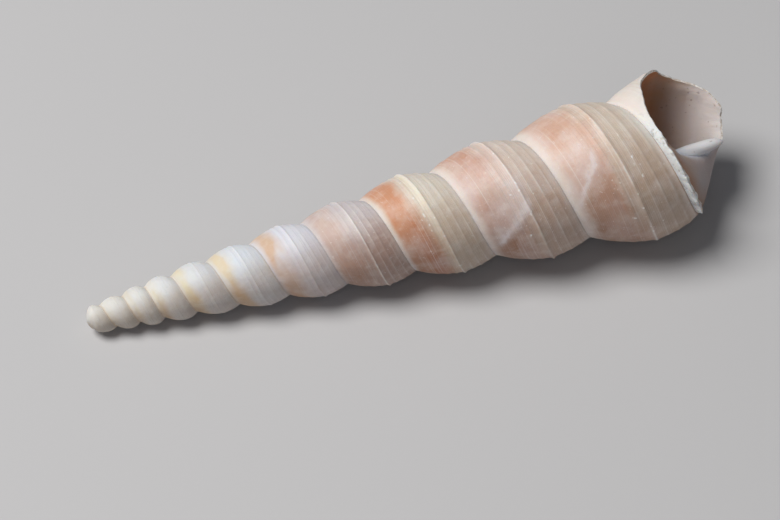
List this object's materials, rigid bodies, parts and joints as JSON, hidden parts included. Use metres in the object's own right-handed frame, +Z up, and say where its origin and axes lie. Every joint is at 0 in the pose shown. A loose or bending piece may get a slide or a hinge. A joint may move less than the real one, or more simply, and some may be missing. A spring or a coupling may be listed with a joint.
{
  "type": "auger shell",
  "caption": "Slender spiral sea shell lying on its side, with rounded whorls, a worn tip and a broken, open mouth.",
  "frame": {"origin": "middle of the footprint's bounding box, on the surface that the shell rests on", "axes": "+X along the shell from its tip to its mouth, +Z up, +Y to the side that the mouth's long rim is on"},
  "size_m": [0.0576, 0.014, 0.0132],
  "materials": {
    "shell_wall": "smooth, slightly glossy lime shell with fine spiral cords: cream tip, peach, mauve and beige whorls, chalky white where it is broken"
  },
  "bodies": {
    "root": {"shell": "shell_wall"}
  },
  "joints": []
}
